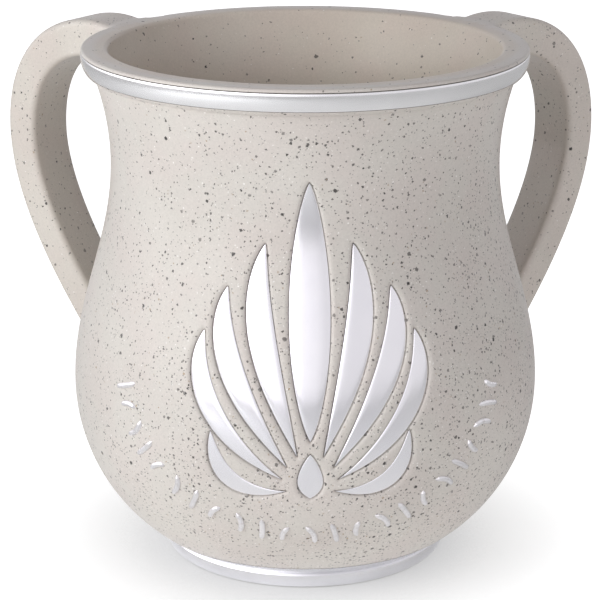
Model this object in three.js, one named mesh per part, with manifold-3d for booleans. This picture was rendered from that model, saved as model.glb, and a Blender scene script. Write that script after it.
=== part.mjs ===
// Washing cup with two strap handles, cast in pale speckled resin.
// Thin metal bands wrap the rolled face of the lip and the foot, and a palmette of thin metal leaves
// is let into the front of the belly. Shallow raised strokes run in a U round the palmette.
// Frame: millimetres, +Z up, front towards -Y, origin on the axis of the cup at its underside.

import * as THREE from 'three';
import { mergeVertices } from 'three/addons/utils/BufferGeometryUtils.js';
import Module from 'manifold-3d';

const wasm = await Module();
wasm.setup();

// Body of the cup
const rimHeight = 139;
const bellyRadius = 62.8;
const bellyHeight = 48;
const bellyCurveBelow = 2;
const neckRadius = 51.8;
const neckHeight = 108.7;
const wallThickness = 5.7;
const floorThickness = 9;

// Lip: the neck flares to a corner under it, then the lip rolls out over that corner
const lipRadius = 59.1;
const lipOverhang = 3.4;
const lipHeight = 7.2;
const lipRollHeight = 5;
const lipRollTurn = THREE.MathUtils.degToRad(102);
const lipEdgeRound = 0.7;
const mouthRadius = 51.8;
const mouthEdgeRound = 1;

// Foot: the belly comes in to a crease above a rounded bead
const footRadius = 38.6;
const footBeadHeight = 4.6;
const footCreaseDepth = 0.4;
const footFlangeHeight = 3.2;
const footEdgeRound = 0.7;
const footBeadTaper = 0.85;

// Metal trim, let into the casting with a small gap all round
const trimThickness = 1.3;
const fitGap = 0.3;

// Handles: flat straps, set towards the back of the cup
const handleSplay = THREE.MathUtils.degToRad(35);
const handleOuterRadius = 97.2;
const handleWidth = 16;
const handleThickness = 9.3;
const handleTopThickness = 10.8;
const handleEdgeRound = 1.8;
const handleTopDrop = 7.4;
const handleFootHeight = 46;
const handleRootDepth = 8;
const handleRootFlare = 5;
const handleRootShare = 1 / 8;

// Bends of a strap's centre line, as shares of its reach out from the lip and of its height
const handleTopBend = [0.37, 0.09];
const handleFarRise = 0.7;
const handleFarBend = [0.02, 0.49];
const handleLowBend = [0.58, 0.25];

// Palmette on the front
const palmetteHeight = 79.5;
const palmetteWidth = 59.6;
const palmetteFoot = 34.5;
const leafSink = 0.5;
const leafThickness = 1.2;
const centreLeafWidth = 10.5;
const sideLeafWidth = 7;
const budWidth = 6.6;
const leafFullness = 0.7;
const centreLeafPeak = 0.5;
const budPeak = 0.45;

// Leaves of one side, from the innermost out: centre line from foot to tip, as shares of half the
// palmette's width and of its height, the leaf's width as a share of the widest side leaf, and how
// far along it that width comes.
const sideLeaves = [
  { line: [[0.114, 0.151], [0.302, 0.352], [0.554, 0.579], [0.369, 0.805]], width: 1, peak: 0.58 },
  { line: [[0.201, 0.113], [0.487, 0.264], [0.872, 0.465], [0.688, 0.667]], width: 0.91, peak: 0.59 },
  { line: [[0.242, 0.07], [0.638, 0.151], [1.09, 0.321], [0.889, 0.528]], width: 0.8, peak: 0.6 },
  { line: [[0.208, 0.026], [0.47, 0.006], [0.84, 0.019], [0.846, 0.215]], width: 0.68, peak: 0.61 },
];
const centreLeafLine = [[0, 0.201], [0, 0.43], [0, 0.73], [0, 1]];
const budLine = [[0, 0], [0, 0.038], [0, 0.088], [0, 0.157]];

// Raised strokes in a U round the palmette
const strokeCount = 23;
const strokeHeight = 6;
const strokeWidth = 1.5;
const strokeRelief = 0.6;
const strokeArcCentre = 66;
const strokeArcDepth = 43;
const strokeArcHalfAngle = THREE.MathUtils.degToRad(49);
const strokeSwing = THREE.MathUtils.degToRad(80);
const strokeLengths = [1, 0.62, 0.85];
const strokeLeans = [8, -14, 20].map(THREE.MathUtils.degToRad);

// How finely round forms are divided
const turns = 48;
const leafSteps = 6;
const strapSteps = 18;

// Materials
const stoneResin = new THREE.MeshStandardMaterial({ color: 0xd3ccc6, roughness: 0.45, metalness: 0 });
const silver = new THREE.MeshStandardMaterial({ color: 0xd6d7dc, roughness: 0.22, metalness: 1 });

// Solids

// A closed three.js geometry as a solid, with shared corners merged and its faces pointing out.
function solid(geometry) {
  const shell = geometry.index ? geometry.toNonIndexed() : geometry.clone();
  for (const name of Object.keys(shell.attributes)) {
    if (name !== 'position') shell.deleteAttribute(name);
  }
  const merged = mergeVertices(shell, 1e-4);
  const { array: corners } = merged.attributes.position;
  const { array: index } = merged.index;
  const faces = [];
  let volume = 0;
  const [a, b, c] = [new THREE.Vector3(), new THREE.Vector3(), new THREE.Vector3()];
  for (let i = 0; i < index.length; i += 3) {
    const [p, q, r] = index.slice(i, i + 3);
    if (p === q || q === r || r === p) continue;
    a.fromArray(corners, 3 * p);
    b.fromArray(corners, 3 * q);
    c.fromArray(corners, 3 * r);
    volume += a.dot(b.clone().cross(c));
    faces.push(p, q, r);
  }
  if (volume < 0) faces.reverse();
  return new wasm.Manifold(new wasm.Mesh({
    numProp: 3,
    vertProperties: Float32Array.from(corners),
    triVerts: Uint32Array.from(faces),
  }));
}

// A named mesh made from a solid.
function part(name, shape, material) {
  const { vertProperties, triVerts } = shape.getMesh();
  const geometry = new THREE.BufferGeometry();
  geometry.setAttribute('position', new THREE.BufferAttribute(Float32Array.from(vertProperties), 3));
  geometry.setIndex(new THREE.BufferAttribute(Uint32Array.from(triVerts), 1));
  geometry.computeVertexNormals();
  const mesh = new THREE.Mesh(geometry, material);
  mesh.name = name;
  return mesh;
}

// A profile of [radius, height] pairs turned about the cup's axis.
function turned(profile) {
  const points = profile.map(([radius, height]) => new THREE.Vector2(radius, height));
  return solid(new THREE.LatheGeometry(points, turns).rotateX(Math.PI / 2));
}

// Evenly spread numbers from first to last.
function spread(first, last, steps) {
  return Array.from({ length: steps + 1 }, (_, i) => first + (last - first) * i / steps);
}

// Body profile

const lipCornerRadius = lipRadius - lipOverhang;
const lipCornerHeight = rimHeight - lipHeight;
const footCreaseRadius = footRadius - footCreaseDepth;
const bellyCurveHeight = bellyHeight + bellyCurveBelow;

// The belly below its widest point is a quarter of an ellipse that meets the foot's crease.
function bellyFall(height) {
  return 1 - Math.sqrt(1 - ((bellyHeight - height) / bellyCurveHeight) ** 2);
}
const bellyReach = (bellyRadius - footCreaseRadius) / bellyFall(footBeadHeight);

// Outside radius of the casting at a height, from the crease of the foot to the corner of the lip.
function bodyRadius(height) {
  if (height < bellyHeight) return bellyRadius - bellyReach * bellyFall(height);
  if (height < neckHeight) {
    const rise = (height - bellyHeight) / (neckHeight - bellyHeight);
    return neckRadius + (bellyRadius - neckRadius) * (1 + Math.cos(Math.PI * rise)) / 2;
  }
  const flare = (height - neckHeight) / (lipCornerHeight - neckHeight);
  return neckRadius + (lipCornerRadius - neckRadius) * flare ** 2;
}

// The outward direction of the body's profile at a height, as [radial, vertical].
function bodyNormal(height) {
  const probe = 0.05;
  const slope = (bodyRadius(height + probe) - bodyRadius(height - probe)) / (2 * probe);
  const length = Math.hypot(1, slope);
  return [1 / length, -slope / length];
}

// Heights from a low one up to the belly's widest, evenly spaced round the ellipse.
function bellyHeights(lowest, steps) {
  const start = Math.asin((bellyHeight - lowest) / bellyCurveHeight);
  return spread(start, 0, steps).map((angle) => bellyHeight - bellyCurveHeight * Math.sin(angle));
}

// A point of the body's profile, set in from the surface by inset, measured square to it.
function bodyPoint(height, inset) {
  const [radial, vertical] = bodyNormal(height);
  return [bodyRadius(height) - inset * radial, height - inset * vertical];
}

// The rolled face of the lip, from just above its corner up to the upper edge of its band.
const lipRollStart = Math.acos(1 - fitGap / lipRollHeight);
const lipRoll = spread(lipRollStart, lipRollTurn, 3).map((angle) => [
  lipCornerRadius + lipOverhang * Math.sin(angle),
  lipCornerHeight + lipRollHeight * (1 - Math.cos(angle)),
]);

const [lipBandTopRadius, lipBandTop] = lipRoll.at(-1);

// The seat of the lip's band at a depth below the rolled face: a cone from rise above the corner,
// then a short upright wall up to top.
function lipSeat(depth, rise, top) {
  return [
    [lipCornerRadius - depth + lipOverhang * rise / lipRollHeight, lipCornerHeight + rise],
    [lipRadius - depth, lipCornerHeight + lipRollHeight],
    [lipRadius - depth, top],
  ];
}

// Cup: casting

const footFlangeTop = footBeadHeight + footFlangeHeight;
const footWallRadius = footCreaseRadius - trimThickness;
const seatDepth = trimThickness + fitGap;

// Points of a rounded edge between two faces that meet at a corner, from one face to the other.
function roundedEdge([radius, height], round, side) {
  const near = 0.3 * round;
  return [
    [radius, height - round],
    [radius - side * near, height - near],
    [radius - side * round, height],
  ];
}

function castingProfile() {
  const footCore = footWallRadius - fitGap;
  const flangeSeat = [footBeadHeight + footEdgeRound, footFlangeTop + fitGap]
    .map((height) => bodyPoint(height, seatDepth));
  const belly = bellyHeights(footFlangeTop + fitGap, 6).map((height) => bodyPoint(height, 0));
  const shoulder = spread(bellyHeight, neckHeight, 6).slice(1).map((height) => bodyPoint(height, 0));
  const flare = spread(neckHeight, lipCornerHeight, 2).slice(1).map((height) => bodyPoint(height, 0));
  return [
    [0, 0],
    [footCore - footEdgeRound, 0],
    [footCore, footEdgeRound],
    [footCore, footBeadHeight],
    ...flangeSeat,
    ...belly,
    ...shoulder,
    ...flare,
    ...lipRoll.slice(1),
    ...roundedEdge([lipBandTopRadius, rimHeight], lipEdgeRound, 1),
    [0, rimHeight],
  ];
}

// The hollow follows the outside at the thickness of the wall and ends in a flat floor.
function hollowProfile() {
  const heights = [
    ...bellyHeights(footBeadHeight, 5),
    ...spread(bellyHeight, neckHeight, 4).slice(1),
    ...spread(neckHeight, lipCornerHeight, 2).slice(1),
  ];
  const wall = heights.map((height) => bodyPoint(height, wallThickness));
  const above = wall.filter(([, height]) => height > floorThickness);
  const below = wall.filter(([, height]) => height <= floorThickness).at(-1) ?? above[0];
  return [
    [0, floorThickness],
    [below[0], floorThickness],
    ...above,
    ...roundedEdge([mouthRadius, rimHeight], mouthEdgeRound, -1),
    [mouthRadius + mouthEdgeRound, rimHeight + wallThickness],
    [0, rimHeight + wallThickness],
  ];
}

// Handles

// Centre line of a strap, as distance from the axis and height: out from under the lip, round the
// shoulder to its farthest point, and back down to the belly. Both ends run on into the wall, and
// the hollow cuts them off there.
function strapSpine() {
  const root = new THREE.Vector2(lipCornerRadius, rimHeight - handleTopDrop);
  const foot = new THREE.Vector2(bodyRadius(handleFootHeight), handleFootHeight);
  const drop = root.y - foot.y;
  const far = new THREE.Vector2(
    handleOuterRadius - handleThickness / 2,
    foot.y + handleFarRise * drop,
  );
  const topBend = new THREE.Vector2(
    root.x + handleTopBend[0] * (far.x - root.x),
    root.y + handleTopBend[1] * drop,
  );
  const lowBend = new THREE.Vector2(
    foot.x + handleLowBend[0] * (far.x - foot.x),
    foot.y + handleLowBend[1] * drop,
  );
  const inward = foot.clone().sub(lowBend).setLength(handleRootDepth).add(foot);
  const path = new THREE.Path();
  path.moveTo(root.x - handleRootDepth, root.y - 0.1 * handleRootDepth);
  path.lineTo(root.x, root.y);
  path.bezierCurveTo(
    topBend.x, topBend.y,
    far.x, root.y + handleFarBend[0] * drop,
    far.x, far.y,
  );
  path.bezierCurveTo(
    far.x, foot.y + handleFarBend[1] * drop,
    lowBend.x, lowBend.y,
    foot.x, foot.y,
  );
  path.lineTo(inward.x, inward.y);
  return path;
}

// Side view of a strap: its centre line thickened, with a flare where its foot meets the belly.
function strapOutline(grow) {
  const spine = strapSpine();
  const [outer, inner] = [[], []];
  for (const share of spread(0, 1, strapSteps)) {
    const point = spine.getPointAt(share);
    const along = spine.getTangentAt(share);
    const top = Math.max(0, 1 - 2 * share);
    const bottom = Math.max(0, 1 - (1 - share) / handleRootShare);
    const flare = handleRootFlare * bottom ** 2;
    const half = (handleThickness + (handleTopThickness - handleThickness) * top) / 2 + flare + grow;
    outer.push(new THREE.Vector2(point.x - along.y * half, point.y + along.x * half));
    inner.push(new THREE.Vector2(point.x + along.y * half, point.y - along.x * half));
  }
  return new THREE.Shape([...outer, ...inner.reverse()]);
}

// A strap on one side of the cup, as a solid: side is 1 for +X and -1 for -X.
function strap(side, grow = 0) {
  const depth = handleWidth - 2 * handleEdgeRound + 2 * grow;
  const geometry = new THREE.ExtrudeGeometry(strapOutline(grow), {
    depth,
    bevelEnabled: true,
    bevelThickness: handleEdgeRound,
    bevelSize: handleEdgeRound,
    bevelOffset: -handleEdgeRound,
    bevelSegments: 2,
    curveSegments: 1,
  });
  const outward = new THREE.Vector3(side * Math.cos(handleSplay), Math.sin(handleSplay), 0);
  const up = new THREE.Vector3(0, 0, 1);
  const across = new THREE.Vector3().crossVectors(outward, up);
  geometry.translate(0, 0, -depth / 2);
  geometry.applyMatrix4(new THREE.Matrix4().makeBasis(outward, up, across));
  return solid(geometry);
}

// The room that a strap takes from the lip's band: the strap itself and what is between it and the rim.
function bandNotch(side, grow) {
  const body = strap(side, grow);
  return body.add(body.translate([0, 0, handleThickness / 2]));
}

// The groove in the casting that the lip's band sits in, with a full stretch left under each handle.
function bandSeat() {
  const seat = lipSeat(seatDepth, 0, lipBandTop + fitGap);
  const clear = lipRadius + seatDepth;
  const section = [[clear, lipCornerHeight], ...seat, [clear, lipBandTop + fitGap]];
  let ring = turned([...section, section[0]]);
  for (const side of [-1, 1]) ring = ring.subtract(bandNotch(side, 0));
  return ring;
}

// Palmette

// Outline of a leaf in front view, widest at the share peak of its length and pointed at both ends.
function leafOutline({ line, width, peak, side }, grow) {
  const [foot, lower, upper, tip] = line.map(([across, up]) => (
    new THREE.Vector2(side * across * palmetteWidth / 2, palmetteFoot + up * palmetteHeight)
  ));
  const spine = new THREE.CubicBezierCurve(foot, lower, upper, tip);
  const power = Math.log(0.5) / Math.log(peak);
  const [left, right] = [[], []];
  for (const share of spread(0, 1, leafSteps)) {
    const point = spine.getPoint(share);
    const along = spine.getTangent(share);
    const half = (width / 2) * Math.sin(Math.PI * share ** power) ** leafFullness + grow;
    const end = (share === 1 ? 1 : 0) - (share === 0 ? 1 : 0);
    const base = point.addScaledVector(along, 2 * grow * end);
    left.push(new THREE.Vector2(base.x - along.y * half, base.y + along.x * half));
    if (grow > 0 || end === 0) {
      right.push(new THREE.Vector2(base.x + along.y * half, base.y - along.x * half));
    }
  }
  return new THREE.Shape([...left, ...right.reverse()]);
}

// A front outline pushed straight through the front half of the cup.
function frontPrism(outline) {
  const geometry = new THREE.ExtrudeGeometry(outline, {
    depth: bellyRadius + wallThickness,
    bevelEnabled: false,
    curveSegments: 1,
  });
  const [across, up] = [new THREE.Vector3(1, 0, 0), new THREE.Vector3(0, 0, 1)];
  const forward = new THREE.Vector3().crossVectors(across, up);
  return solid(geometry.applyMatrix4(new THREE.Matrix4().makeBasis(across, up, forward)));
}

// A skin that follows the body between two depths below its surface, over the palmette's height.
function bodySkin(top, bottom) {
  const spare = 3 * leafThickness;
  const heights = spread(palmetteFoot - spare, palmetteFoot + palmetteHeight + spare, 9);
  const outer = heights.map((height) => bodyPoint(height, top));
  const inner = heights.map((height) => bodyPoint(height, bottom)).reverse();
  return turned([...outer, ...inner, outer[0]]);
}

const leaves = [
  { name: 'palmette_bud', line: budLine, width: budWidth, peak: budPeak, side: 1 },
  {
    name: 'palmette_leaf_centre',
    line: centreLeafLine,
    width: centreLeafWidth,
    peak: centreLeafPeak,
    side: 1,
  },
];
sideLeaves.forEach(({ line, width, peak }, i) => {
  for (const [side, hand] of [[-1, 'left'], [1, 'right']]) {
    const name = `palmette_leaf_${i + 1}_${hand}`;
    leaves.push({ name, line, width: sideLeafWidth * width, peak, side });
  }
});

// Raised strokes

// One stroke: a bar that lies on the belly, its share of the way along the U from -1 to 1.
function stroke(i) {
  const share = (2 * i) / (strokeCount - 1) - 1;
  const swing = share * strokeSwing;
  const around = strokeArcHalfAngle * Math.sin(swing) / Math.sin(strokeSwing);
  const height = strokeArcCentre - strokeArcDepth * Math.cos(swing);
  const [radial, vertical] = bodyNormal(height);
  const out = new THREE.Vector3(radial * Math.sin(around), -radial * Math.cos(around), vertical);
  const across = new THREE.Vector3(Math.cos(around), Math.sin(around), 0);
  const up = new THREE.Vector3().crossVectors(out, across);
  const length = strokeHeight * strokeLengths[i % strokeLengths.length];
  const lean = swing + strokeLeans[i % strokeLeans.length];
  const geometry = new THREE.BoxGeometry(strokeWidth, length, 4 * strokeRelief);
  geometry.rotateZ(lean);
  geometry.translate(0, 0, -strokeRelief);
  geometry.applyMatrix4(new THREE.Matrix4().makeBasis(across, up, out));
  const radius = bodyRadius(height);
  geometry.translate(radius * Math.sin(around), -radius * Math.cos(around), height);
  return solid(geometry);
}

// The cup itself: body and handles cast in one piece.
function cup() {
  let shape = turned(castingProfile());
  for (const side of [-1, 1]) shape = shape.add(strap(side));
  for (let i = 0; i < strokeCount; i += 1) shape = shape.add(stroke(i));
  shape = shape.subtract(turned(hollowProfile())).subtract(bandSeat());
  const pocketSkin = bodySkin(-wallThickness, leafSink + leafThickness + fitGap);
  for (const leaf of leaves) {
    const prism = frontPrism(leafOutline(leaf, fitGap));
    shape = shape.subtract(prism.intersect(pocketSkin));
  }
  return part('cup', shape, stoneResin);
}

// The band round the lip, in two pieces that end at the handles: one in front, one at the back.
function lipBands() {
  const section = [
    ...lipRoll,
    ...lipSeat(trimThickness, fitGap, lipBandTop).reverse(),
  ];
  let ring = turned([...section, section[0]]);
  for (const side of [-1, 1]) ring = ring.subtract(bandNotch(side, fitGap));
  const arcs = ring.decompose().sort((a, b) => a.boundingBox().min[1] - b.boundingBox().min[1]);
  return ['lip_band_front', 'lip_band_back'].map((name, i) => part(name, arcs[i], silver));
}

// The band round the foot: a rounded bead below a crease, and a flange that lies on the belly.
function footBand() {
  const flange = [footBeadHeight + footEdgeRound, footFlangeTop];
  const bead = spread(0, 1, 2).map((share) => [
    footRadius - footBeadTaper * share ** 2,
    footBeadHeight - footEdgeRound / 2 - share * (footBeadHeight - footEdgeRound / 2 - fitGap),
  ]);
  const section = [
    ...flange.map((height) => bodyPoint(height, 0)).reverse(),
    [footCreaseRadius, footBeadHeight],
    ...bead,
    [footWallRadius, fitGap],
    [footWallRadius, footBeadHeight],
    ...flange.map((height) => bodyPoint(height, trimThickness)),
  ];
  return part('foot_band', turned([...section, section[0]]), silver);
}

// One metal leaf of the palmette, seated in its pocket a little below the face of the belly.
function palmetteLeaf(leaf) {
  const prism = frontPrism(leafOutline(leaf, 0));
  return part(leaf.name, prism.intersect(bodySkin(leafSink, leafSink + leafThickness)), silver);
}

const washingCup = new THREE.Group();
washingCup.add(cup(), ...lipBands(), footBand(), ...leaves.map(palmetteLeaf));

export default washingCup;
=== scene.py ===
# %% [markdown]
# # A washing cup in cast stone resin with silver trim
# The cup has a bellied body, a flared lip, a small foot and two strap handles set towards the back.
# It is cast in one piece from pale resin full of fine dark grains. Thin silver bands wrap the lip
# and the foot, silver leaves are let into the front, and a row of small raised strokes runs in a U
# below them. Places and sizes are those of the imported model. This script adds the looks: rounded
# joints, soft edges, grains, polish, light and camera.

import math

import bmesh
import bpy
import numpy as np
from mathutils import Matrix, Vector


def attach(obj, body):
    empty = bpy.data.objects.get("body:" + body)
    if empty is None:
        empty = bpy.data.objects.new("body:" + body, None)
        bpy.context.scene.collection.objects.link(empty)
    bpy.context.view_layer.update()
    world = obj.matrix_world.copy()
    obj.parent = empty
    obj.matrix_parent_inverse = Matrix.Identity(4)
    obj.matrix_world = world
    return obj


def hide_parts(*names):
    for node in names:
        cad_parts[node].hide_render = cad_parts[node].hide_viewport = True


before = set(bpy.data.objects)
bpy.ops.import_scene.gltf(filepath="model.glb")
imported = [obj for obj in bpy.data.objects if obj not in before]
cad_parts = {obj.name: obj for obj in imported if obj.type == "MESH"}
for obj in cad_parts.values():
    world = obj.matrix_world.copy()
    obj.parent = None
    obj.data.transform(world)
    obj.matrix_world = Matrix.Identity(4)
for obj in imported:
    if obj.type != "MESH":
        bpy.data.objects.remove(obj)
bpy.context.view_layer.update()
MM = 0.001
scene = bpy.context.scene
print("solids in the packed model:", len(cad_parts))

# %% [markdown]
# ## Sizes
# All sizes are in millimetres, as a maker would write them, and every mesh is made in metres at
# the very end. The body is one curve: an ellipse from the foot to the belly, half a cosine wave
# from the belly to the neck, and a parabola from the neck to the corner under the lip.

# %% Sizes of the cup
RIM_HEIGHT = 139.0
BELLY_RADIUS, BELLY_HEIGHT, BELLY_CURVE_BELOW = 62.8, 48.0, 2.0
NECK_RADIUS, NECK_HEIGHT = 51.8, 108.7
WALL, FLOOR = 5.7, 9.0
LIP_RADIUS, LIP_OVERHANG, LIP_HEIGHT, LIP_ROLL_HEIGHT = 59.1, 3.4, 7.2, 5.0
LIP_ROLL_TURN = math.radians(102)
MOUTH_RADIUS = 51.8
FOOT_RADIUS, FOOT_BEAD_HEIGHT, FOOT_CREASE_DEPTH, FOOT_FLANGE_HEIGHT = 38.6, 4.6, 0.4, 3.2
TRIM, GAP = 1.3, 0.3
PROBE = 0.02
CORNER_RADIUS = LIP_RADIUS - LIP_OVERHANG
CORNER_HEIGHT = RIM_HEIGHT - LIP_HEIGHT
CREASE_RADIUS = FOOT_RADIUS - FOOT_CREASE_DEPTH
FLANGE_TOP = FOOT_BEAD_HEIGHT + FOOT_FLANGE_HEIGHT
BELLY_CURVE = BELLY_HEIGHT + BELLY_CURVE_BELOW


def belly_fall(height):
    """How far the belly has come in at a height, as a share of the ellipse's width."""
    return 1 - np.sqrt(1 - np.clip((BELLY_HEIGHT - height) / BELLY_CURVE, 0, 0.9999) ** 2)


BELLY_REACH = (BELLY_RADIUS - CREASE_RADIUS) / belly_fall(FOOT_BEAD_HEIGHT)


def body_radius(height):
    """Outside radius of the body at a height, for numbers and arrays alike."""
    h = np.asarray(height, dtype=float)
    rise = np.clip((h - BELLY_HEIGHT) / (NECK_HEIGHT - BELLY_HEIGHT), 0, 1)
    flare = np.clip((h - NECK_HEIGHT) / (CORNER_HEIGHT - NECK_HEIGHT), 0, 2)
    low = BELLY_RADIUS - BELLY_REACH * belly_fall(h)
    mid = NECK_RADIUS + (BELLY_RADIUS - NECK_RADIUS) * (1 + np.cos(math.pi * rise)) / 2
    high = NECK_RADIUS + (CORNER_RADIUS - NECK_RADIUS) * flare ** 2
    return np.where(h < BELLY_HEIGHT, low, np.where(h < NECK_HEIGHT, mid, high))


def body_normal(height):
    """Outward direction of the body's curve at a height: its radial and its upward share."""
    slope = (body_radius(height + PROBE) - body_radius(height - PROBE)) / (2 * PROBE)
    length = np.hypot(1, slope)
    return 1 / length, -slope / length


def body_point(height, inset):
    """A point of the body's curve moved in by inset, square to the surface."""
    radial, upward = body_normal(height)
    return float(body_radius(height) - inset * radial), float(height - inset * upward)


shown = (FLANGE_TOP, BELLY_HEIGHT, NECK_HEIGHT, CORNER_HEIGHT)
print("radius at foot, belly, neck, lip:", [round(float(body_radius(h)), 1) for h in shown])

# %% [markdown]
# ## A lathe made of nodes
# Five forms are turned: the body, its hollow, the two bands and the groove of the lip's band. A
# lathe is one rule, a section carried round an axis, so it is built once as a Geometry Nodes tree.
# Mesh to Curve and Curve to Mesh carry a line of points round a circle, and Merge by Distance
# closes the poles on the axis. Each tree here ends in Realize Instances and Set Material, because
# the export drops instances and takes a finish from the mesh.

# %% The lathe tree
POLE_MERGE = 0.002


def feed(tree, made, inputs):
    """Feeds a node's inputs, by name or number: a socket is linked, and a constant is set."""
    for slot, value in inputs.items():
        if isinstance(value, bpy.types.NodeSocket):
            tree.links.new(value, made.inputs[slot])
        else:
            made.inputs[slot].default_value = value


def node(tree, kind, inputs=None, **settings):
    """Adds a node to a tree, sets its properties and feeds its inputs."""
    made = tree.nodes.new(kind)
    for name, value in settings.items():
        setattr(made, name, value)
    feed(tree, made, inputs or {})
    return made


def new_tree(kind, name, inputs, outputs):
    """A node tree with the given sockets, by name and kind, and what its inputs hand over."""
    tree = bpy.data.node_groups.new(name, kind + "NodeTree")
    for way, sockets in (("INPUT", inputs), ("OUTPUT", outputs)):
        for label, socket in sockets.items():
            tree.interface.new_socket(label, in_out=way, socket_type="NodeSocket" + socket)
    return tree, node(tree, "NodeGroupInput").outputs


def end_tree(tree, geometry, finish, label):
    """Ends a tree: instances become real geometry, and the finish is set on it."""
    real = node(tree, "GeometryNodeRealizeInstances", {"Geometry": geometry})
    coated = node(tree, "GeometryNodeSetMaterial", {
        "Geometry": real.outputs["Geometry"], "Material": finish,
    })
    node(tree, "NodeGroupOutput", {label: coated.outputs["Geometry"]})


lathe, given = new_tree(
    "Geometry", "lathe",
    {"Section": "Geometry", "Turns": "Int", "Path radius": "Float", "Finish": "Material"},
    {"Turned form": "Geometry"},
)
section_line = node(lathe, "GeometryNodeMeshToCurve", {"Mesh": given["Section"]})
round_path = node(lathe, "GeometryNodeCurvePrimitiveCircle", {
    "Resolution": given["Turns"], "Radius": given["Path radius"],
})
carried = node(lathe, "GeometryNodeCurveToMesh", {
    "Curve": round_path.outputs["Curve"], "Profile Curve": section_line.outputs["Curve"],
})
poles = node(lathe, "GeometryNodeMergeByDistance", {
    "Geometry": carried.outputs["Mesh"], "Distance": POLE_MERGE * MM,
})
end_tree(lathe, poles.outputs["Geometry"], given["Finish"], "Turned form")
print("nodes in the lathe:", len(lathe.nodes))

# %% [markdown]
# ## From a node tree to a plain mesh
# A tree runs once. What it makes is copied into a plain mesh at the origin, and its faces are made
# to point outwards, because carrying a section round can turn a shape inside out.

# %% Helpers that turn trees and lists into clean meshes
LATHE_PATH = 50.0


def linked(name, mesh):
    """A new object in the scene for a mesh."""
    made = bpy.data.objects.new(name, mesh)
    scene.collection.objects.link(made)
    return made


def new_mesh(name, points, edges, faces):
    """A mesh from points in millimetres."""
    mesh = bpy.data.meshes.new(name)
    mesh.from_pydata([tuple(c * MM for c in p) for p in points], edges, faces)
    return mesh


def store(mesh, name, kind, values):
    """Writes a value on each point of a mesh."""
    data = mesh.attributes.new(name, kind, "POINT")
    data.data.foreach_set("vector" if kind == "FLOAT_VECTOR" else "value", values)


def baked(item, name):
    """Replaces an object with modifiers by a plain mesh object of what they make."""
    seen = bpy.context.evaluated_depsgraph_get()
    mesh = bpy.data.meshes.new_from_object(item.evaluated_get(seen), depsgraph=seen)
    bpy.data.meshes.remove(item.data)
    mesh.name = name
    return linked(name, mesh)


def facing_out(item, merge=0.001):
    """Merges doubles, closer than merge in millimetres, and makes all faces point outwards."""
    shape = bmesh.new()
    shape.from_mesh(item.data)
    bmesh.ops.remove_doubles(shape, verts=shape.verts, dist=merge * MM)
    bmesh.ops.dissolve_degenerate(shape, edges=shape.edges, dist=merge * MM)
    bmesh.ops.recalc_face_normals(shape, faces=shape.faces)
    if shape.calc_volume(signed=True) < 0:
        bmesh.ops.reverse_faces(shape, faces=shape.faces)
    shape.to_mesh(item.data)
    shape.free()
    return item


def material_called(name):
    """The material of this name, made empty when it is first asked for."""
    return bpy.data.materials.get(name) or bpy.data.materials.new(name)


def run_tree(tree, mesh, name, values):
    """What a Geometry Nodes tree makes of a mesh, with its inputs set by name."""
    item = linked(name, mesh)
    maker = item.modifiers.new(tree.name, "NODES")
    maker.node_group = tree
    for socket in tree.interface.items_tree:
        if socket.name in values:
            maker[socket.identifier] = values[socket.name]
    return facing_out(baked(item, name))


def turned(name, section, turns, finish="stone_resin"):
    """A section of (radius, height) points in millimetres, carried round the cup's axis."""
    points = [(r - LATHE_PATH, -z, 0) for r, z in section]
    edges = [(i, i + 1) for i in range(len(points) - 1)]
    if section[0] == section[-1]:
        points.pop()
        edges[-1] = (len(points) - 1, 0)
    line = new_mesh(name, points, edges, [])
    return run_tree(lathe, line, name, {
        "Turns": turns, "Path radius": LATHE_PATH * MM, "Finish": material_called(finish),
    })


def mesh_piece(name, points, faces):
    """An object from points in millimetres and faces."""
    return facing_out(linked(name, new_mesh(name, points, [], faces)))


def cut(item, tool, how="DIFFERENCE"):
    """Joins, cuts or keeps the overlap of two closed meshes, and removes the tool."""
    step = item.modifiers.new("cut", "BOOLEAN")
    step.operation = how
    step.solver = "MANIFOLD"
    step.object = tool
    name = item.name
    made = baked(item, name)
    made.name = name
    bpy.data.objects.remove(tool)
    return made


def triangles(item):
    """How many triangles a mesh object has."""
    return sum(len(face.vertices) - 2 for face in item.data.polygons)


# %% [markdown]
# ## The section of the body
# The casting is turned as a solid first, and hollowed later. Its section starts on the axis under
# the foot, follows the seat of the foot band, the belly, the neck and the flare, rolls out over
# the corner of the lip, and ends on the axis at the top.

# %% Sections of the casting and its hollow
RING_ROUND, MOUTH_ROUND, FOOT_ROUND, HOLLOW_ROUND = 0.8, 1.3, 0.7, 5.0
BODY_PACE, SEAT_PACE, FLANGE_PACE, HOLLOW_PACE = 1.25, 0.8, 0.6, 2.0
RIM_RADII = (56.5, 54.5, 52.5, 45, 30)
HOLLOW_START, HOLLOW_CORNER, HOLLOW_FLAT = 5.5, 6.2, 18
TOOL_RISE = 4


def steps(first, last, pace):
    """Evenly spaced numbers from first to last, about pace apart, both ends included."""
    return np.linspace(first, last, max(2, int(round(abs(last - first) / pace)) + 1))


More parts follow.
